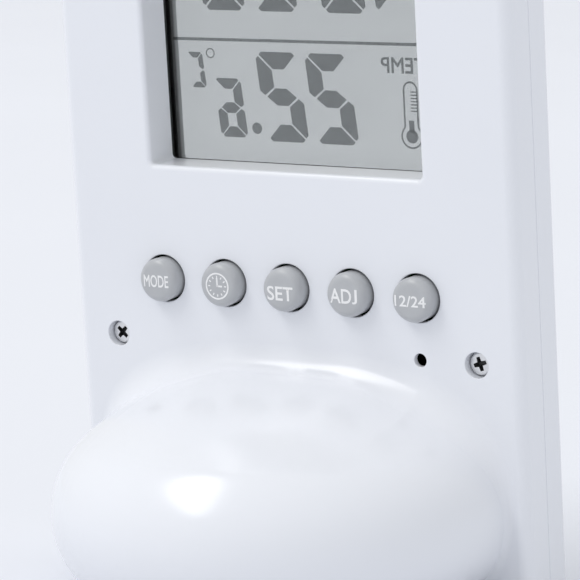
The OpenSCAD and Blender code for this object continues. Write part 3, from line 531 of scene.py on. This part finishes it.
def letters(skin, words, height, place, squeeze=1.0, bold=0.0, cuts=0):
    """Letters of that cap height, centred on their own box, with their faces cut finer to follow a round surface."""
    flat = flat_text(words)
    if bold:
        embolden(flat, bold)
    low = [min(v.co[k] for v in flat.verts) for k in (0, 1)]
    high = [max(v.co[k] for v in flat.verts) for k in (0, 1)]
    scale = height / (high[1] - low[1])
    bmesh.ops.triangulate(flat, faces=flat.faces)
    if cuts:
        bmesh.ops.subdivide_edges(flat, edges=flat.edges, cuts=cuts, use_grid_fill=True)
    spots = {v: place((v.co.x - (low[0] + high[0]) / 2) * scale * squeeze, (v.co.y - (low[1] + high[1]) / 2) * scale)
             for v in flat.verts}
    verts = {v: skin.bm.verts.new(spot) for v, spot in spots.items()}
    for f in flat.faces:
        skin.bm.faces.new([verts[v] for v in f.verts])
    flat.free()


def bar(skin, a, b, width, place):
    """A flat bar from a to b."""
    a, b = Vector(a), Vector(b)
    side = Vector((a.y - b.y, b.x - a.x)).normalized() * width / 2
    skin.bm.faces.new([skin.bm.verts.new(place(p.x, p.y)) for p in (a + side, a - side, b - side, b + side)])


def flat_ring(skin, cx, cv, r, width, place, n=40):
    """A flat circular line of that width."""
    rows = [[place(x, v) for x, v in ring(cx, cv, r + d, n)] for d in (-width / 2, width / 2)]
    skin.strip(rows, closed=True)


def clock_icon(skin, r, place, line=0.28, tick=0.22, hand=0.3):
    """A ring with twelve ticks and two hands."""
    flat_ring(skin, 0, 0, r, line, place)
    for k in range(12):
        a = math.pi * k / 6
        d = Vector((math.cos(a), math.sin(a)))
        bar(skin, d * (r - 0.75), d * (r - 0.35), tick, place)
    bar(skin, (0, -0.1), (0, 1.35), hand, place)
    bar(skin, (-0.1, 0), (0.95, 0), hand, place)


# Words, cap height, stretch, and the place right of and above the key's middle
legends = {
    "mode": [("MODE", 2.05, 0.62, 0, 0)],
    "set": [("SET", 2.35, 0.985, 0, -0.4)],
    "adjust": [("AD", 2.37, 0.853, -0.66, 0), ("J", 2.37, 1.4, 1.91, 0)],
    "format": [("12/24", 1.8, 1.1, 0, 0)],
}
ICON_R = 2.08
crown_r, cap_sides = KEY_R - KEY_ROUND, 56
profile = [(0.02, KEY_TOP), (1.4, KEY_TOP)]
profile += [(crown_r + KEY_ROUND * math.sin(a), KEY_TOP - KEY_ROUND + KEY_ROUND * math.cos(a)) for a in arc(8)]
profile += [(KEY_SIDE, 0.2), (KEY_SIDE, KEY_LOW)]


def cap_height(r):
    """Height of a key's top at a radius: flat, then down its round shoulder."""
    out = min(max(r - crown_r, 0), KEY_ROUND)
    return KEY_TOP - KEY_ROUND + math.sqrt(KEY_ROUND ** 2 - out ** 2)


def on_key(i, right=0.0, up=0.0):
    """Gives the place on a key's top of a point that lies to the right of and above a middle."""
    def place(x, v):
        x, v = x + right, v + up
        return at(key_x(i) - x, cap_height(math.hypot(x, v)) + PRINT_LIFT, v)
    return place


for i, key in enumerate(KEYS):
    cap = Skin()
    cap.strip([lift(ring(key_x(i), 0, r, cap_sides), w) for r, w in profile], closed=True)
    cap.bm.faces.new([cap.bm.verts.new(p) for p in lift(ring(key_x(i), 0, profile[0][0], cap_sides), KEY_TOP)])
    cap.finish("key_" + key, grey, "button_" + key, "key_grey", ["button_" + key])
    mark = Skin()
    for words, height, stretch, right, up in legends.get(key, []):
        letters(mark, words, height, on_key(i, right, up), stretch, bold=BOLD, cuts=2)
    if key not in legends:
        clock_icon(mark, ICON_R, on_key(i))
    mark.finish("legend_" + key, ink, "button_" + key, "case_white")

# Display

DIGITS = {"0": "abcdef", "1": "bc", "2": "abged", "5": "acdfg", "6": "acdefg", "8": "abcdefg", "C": "adef"}


def digit(skin, sign, u, low, size, place, slant=0.1):
    """Seven-segment digit with cut corners and mitred ends. It reads from the front, towards lower u."""
    width, height, thick = size
    half, mid, corner, gap = width / 2, height / 2, thick * 0.36, thick * 0.06
    mitre, point = gap * 1.4, thick * 0.33
    level = [(half - corner - gap, height), (half - corner / 2 - gap, height - corner / 2),
             (half - thick - mitre, height - thick)]
    upright = [(half, height - corner - gap), (half - corner / 2, height - corner / 2 - mitre),
               (half - thick, height - thick - mitre), (half - thick, mid + thick / 2 + gap),
               (half - point, mid + mitre), (half, mid + point)]
    middle = [(half - thick - gap, mid + thick / 2), (half - corner - mitre, mid),
              (half - thick - gap, mid - thick / 2)]
    segments = {"a": (level, 0, False), "b": (upright, 1, False), "c": (upright, 1, True), "d": (level, 0, True),
                "e": (upright, -1, True), "f": (upright, -1, False), "g": (middle, 0, False)}
    for name in DIGITS[sign]:
        points, side, down = segments[name]
        line = [(side * x, v) for x, v in points] if side else points + [(-x, v) for x, v in points[::-1]]
        line = [(x, height - v if down else v) for x, v in line]
        skin.bm.faces.new([skin.bm.verts.new(place(u - x - slant * (v - mid), low + v)) for x, v in line])


def blob(skin, u, v, r, place, n=20):
    """A flat disc."""
    skin.bm.faces.new([skin.bm.verts.new(place(x, y)) for x, y in ring(u, v, r, n)])


def on_lcd(u, v):
    """A place in the display's plane: u to the right seen from behind, v up from the keys."""
    return at(-u, -LC_PLANE, v)


def thermometer(skin, u, place, tube_r=1.2, bulb_r=1.85, line=0.3):
    """A tube over a bulb in outline, filled at the bulb, with ticks at its upper end."""
    tube_low, tube_top, bulb_v = 25.4, 31.4, 23.95
    outline = [(u - tube_r, tube_low), (u - tube_r, tube_top)]
    outline += [(u + tube_r * math.cos(a), tube_top + tube_r * math.sin(a)) for a in arc(10, 180, 0)[1:]]
    outline += [(u + tube_r, tube_low)]
    outline += [(u + bulb_r * math.cos(a), bulb_v + bulb_r * math.sin(a)) for a in arc(24, 50, -230)]
    for a, b in zip(outline, outline[1:] + outline[:1]):
        bar(skin, a, b, line, place)
    blob(skin, u, bulb_v, 1.1, place)
    bar(skin, (u, 24.6), (u, 26.5), 0.95, place)
    for v in [28.0 + 0.51 * k for k in range(7)]:
        bar(skin, (u, v), (u + tube_r, v), 0.2, place)


# Width, height and stroke of the digits, and the feet of the rows
TALL, TENTH, UNIT, DATE = (8.1, 14.6, 2.8), (5.2, 9.67, 1.75), (2.9, 5.84, 0.95), (3.4, 6.2, 1.1)
TEMP_ROW, TIME_ROW, DATE_ROW = 22.05, 43.2, 61.6
RULE_HALF = 25.4
marks = Skin()
for sign, u, low, size in (("2", 4.7, TEMP_ROW, TALL), ("2", -4.7, TEMP_ROW, TALL),
                           ("6", -14.69, TEMP_ROW + 0.38, TENTH), ("C", -20.94, 30.4, UNIT),
                           ("1", 17.2, TIME_ROW, TALL), ("0", 7.2, TIME_ROW, TALL),
                           ("2", -5.6, TIME_ROW, TALL), ("8", -15.6, TIME_ROW, TALL),
                           ("1", 20.4, DATE_ROW, DATE), ("2", 15.8, DATE_ROW, DATE),
                           ("2", 6.6, DATE_ROW, DATE), ("5", 2.0, DATE_ROW, DATE)):
    digit(marks, sign, u, low, size, on_lcd)
for u, v, r in ((-9.83, 24.08, 0.95), (1.104, 47.6, 0.85), (0.628, 53.2, 0.85)):
    blob(marks, u, v, r, on_lcd)
for a, b, width in (((-RULE_HALF, 38.35), (RULE_HALF, 38.6), 0.5), ((-RULE_HALF, 59.7), (RULE_HALF, 59.7), 0.4),
                    ((12.4, 64.7), (10.1, 64.7), 0.75)):
    bar(marks, a, b, width, on_lcd)
flat_ring(marks, -18.14, 36.12, 0.75, 0.22, on_lcd, 24)
letters(marks, "TEMP", 2.55, lambda x, v: on_lcd(18.2 - x, 35.2 + v), 0.945, bold=BOLD)
letters(marks, "THU", 3.6, lambda x, v: on_lcd(-12.5 - x, 64.6 + v), 1.1, bold=BOLD)
thermometer(marks, 19.3, on_lcd)
marks.finish("lcd_segments", segment, slot="polarizer")


def sheet(name, low, w, material, slot, nodes, thick=0.0):
    """A flat sheet of the display. A thick one also gets its edges."""
    s = Skin()
    loop = rect_loop(WINDOW_W / 2 + GLASS_BORDER, low, WINDOW_TOP + GLASS_BORDER, GLASS_R, 3)
    s.fill([loop], lambda x, v: at(x, w, v))
    if thick:
        s.strip([lift(loop, w), lift(loop, w + thick)], closed=True)
    s.finish(name, material, slot=slot, nodes=nodes)


glass_low = WINDOW_LOW - GLASS_BORDER
sheet("film_rear", glass_low, -FILM_REAR, film, "polarizer", ["lcd_rear_polarizer"])
sheet("glass_rear", glass_low, -GLASS_REAR, glass, "display_glass", ["lcd_rear_glass"], thick=-GLASS_T)
sheet("glass_front", glass_low - LEDGE, -GLASS_FRONT, glass, "display_glass", ["lcd_front_glass"], thick=GLASS_T)
sheet("film_front", glass_low, -FILM_FRONT, film, "polarizer", ["lcd_front_polarizer"])
seal_gap, lens_seat, lens_chamfer = 0.03, 0.02, 0.2
seal = Skin()
seal_loop = window_loop(GLASS_BORDER + seal_gap, GLASS_R, 3)
seal.strip([lift(seal_loop, w) for w in (-FILM_REAR, -LC_PLANE, -OPENING_BACK)], closed=True)
seal.finish("display_seal", by_slot["gasket_black"], slot="gasket_black")
cover = Skin()
cover_rows = [(window_loop(LENS_BORDER - e, WINDOW_R + LENS_BORDER - e), w)
              for e, w in ((0, -LENS_BACK - lens_seat), (0, lens_chamfer - LENS_FRONT), (lens_chamfer, -LENS_FRONT))]
cover.strip([lift(loop, w) for loop, w in cover_rows], closed=True)
for loop, w in (cover_rows[0], cover_rows[-1]):
    cover.fill([loop], lambda x, v, w=w: at(x, w, v))
cover.finish("lens", lens, slot="lens_clear", nodes=["front_lens"])

# Case screws


def cross(reach, half, spin):
    """A closed cross with four arms, turned by spin degrees."""
    line = [(half * 0.8, reach), (half, half), (reach, half * 0.8)]
    turns = [math.radians(spin - 90 * k) for k in range(4)]
    return [(x * math.cos(a) - v * math.sin(a), x * math.sin(a) + v * math.cos(a)) for a in turns for x, v in line]


def to_screw(side, loop):
    """A loop moved to the screw on that side."""
    return [(side * SCREW_X + x, SCREW_V + v) for x, v in loop]


crown_in, crown_h, head_sides = 0.35, 0.45, 40
cross_depth = 0.9
shank_end = -SCREW_DEPTH - SHANK_L
head_rows = [(SHANK_R, shank_end), (SHANK_R, -SCREW_DEPTH), (HEAD_R, -SCREW_DEPTH), (HEAD_R, -HEAD_SUNK - crown_h)]
head_rows += [(HEAD_R - crown_in + crown_in * math.cos(a), -HEAD_SUNK - crown_h + crown_h * math.sin(a))
              for a in arc(6)[1:]]
heads, recess_shade = Skin(), Skin()
for side, spin in ((-1, -18), (1, 42)):
    heads.strip([lift(to_screw(side, ring(0, 0, r, head_sides)), w) for r, w in head_rows], closed=True)
    mouth_line = to_screw(side, cross(1.15, 0.38, spin))
    end_line = to_screw(side, cross(0.8, 0.24, spin))
    heads.fill([to_screw(side, ring(0, 0, head_rows[-1][0], head_sides)), mouth_line],
               lambda x, v: at(x, -HEAD_SUNK, v))
    heads.fill([to_screw(side, ring(0, 0, SHANK_R, head_sides))], lambda x, v: at(x, shank_end, v))
    recess_shade.strip([lift(mouth_line, -HEAD_SUNK), lift(end_line, -HEAD_SUNK - cross_depth)], closed=True)
    recess_shade.fill([end_line], lambda x, v: at(x, -HEAD_SUNK - cross_depth, v))
heads.finish("screw_heads", screw_steel, slot="steel", nodes=["case_screws"])
# The cross recesses are drawn in black plastic as painted shade; the steel inside them is dark only from shade.
recess_shade.finish("screw_recesses", by_slot["moulded_black"], slot="steel")

# The CAD pieces that are shown as they are

slots = {s["node"]: s["material_slot"] for s in record["subparts"]}
for name, obj in frame["nodes"].items():
    if obj.hide_render:
        continue
    obj.data.materials.clear()
    obj.data.materials.append(by_slot[slots[name]])
    if name in ("battery_door", "rubber_feet"):
        round_edge = obj.modifiers.new("edge", "BEVEL")
        round_edge.width = 0.00018
        round_edge.segments = 2
        round_edge.limit_method = "ANGLE"

# Table, light and camera

floor_half = 14.0
floor_mesh = bpy.data.meshes.new("floor")
floor_mesh.from_pydata([(x * floor_half, y * floor_half, 0) for x, y in ((-1, -1), (1, -1), (1, 1), (-1, 1))],
                       [], [(0, 1, 2, 3)])
floor = bpy.data.objects.new("floor", floor_mesh)
bpy.context.scene.collection.objects.link(floor)
floor_mesh.materials.append(surface("table_white", (0.79, 0.805, 0.85), (0.80, 0.815, 0.86), (0.7, 0.8),
                                    patch=3, grain=300, specular=0.1))
floor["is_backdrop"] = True

world = bpy.data.worlds.new("room")
bpy.context.scene.world = world
world.use_nodes = True
sky = world.node_tree.nodes["Background"]
sky.inputs["Color"].default_value = (0.965, 0.98, 1.0, 1)
sky.inputs["Strength"].default_value = 0.80
lamp = bpy.data.lights.new("window_light", "AREA")
lamp.shape = "ELLIPSE"
lamp.size, lamp.size_y = 7.8, 2.6
lamp.energy = 255.0
lamp.color = (1.0, 0.995, 0.985)
window = bpy.data.objects.new("window_light", lamp)
toward = Vector((0.40, 0.395, 0.827)).normalized()
window.location = toward * 8.0
window.rotation_mode = "QUATERNION"
window.rotation_quaternion = toward.to_track_quat("Z", "Y") @ Quaternion((0, 0, 1), math.radians(-38))
bpy.context.scene.collection.objects.link(window)

camera = bpy.data.cameras.new("camera")
camera.sensor_width = 36.0
camera.lens = 205.46
camera.clip_start = 0.02
camera.clip_end = 60.0
eye = bpy.data.objects.new("camera", camera)
right = turn(-0.84318, -0.53494, -0.05373)
down = turn(-0.06721, 0.20405, -0.97665)
ahead = turn(0.53342, -0.81988, -0.20800)
axes = Matrix((right, -down, -ahead)).transposed().to_4x4()
eye.matrix_world = Matrix.Translation(at(-282.642, 433.945, 109.790)) @ axes
bpy.context.scene.collection.objects.link(eye)
bpy.context.scene.camera = eye
bpy.context.scene.view_settings.view_transform = "Standard"

low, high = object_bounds()
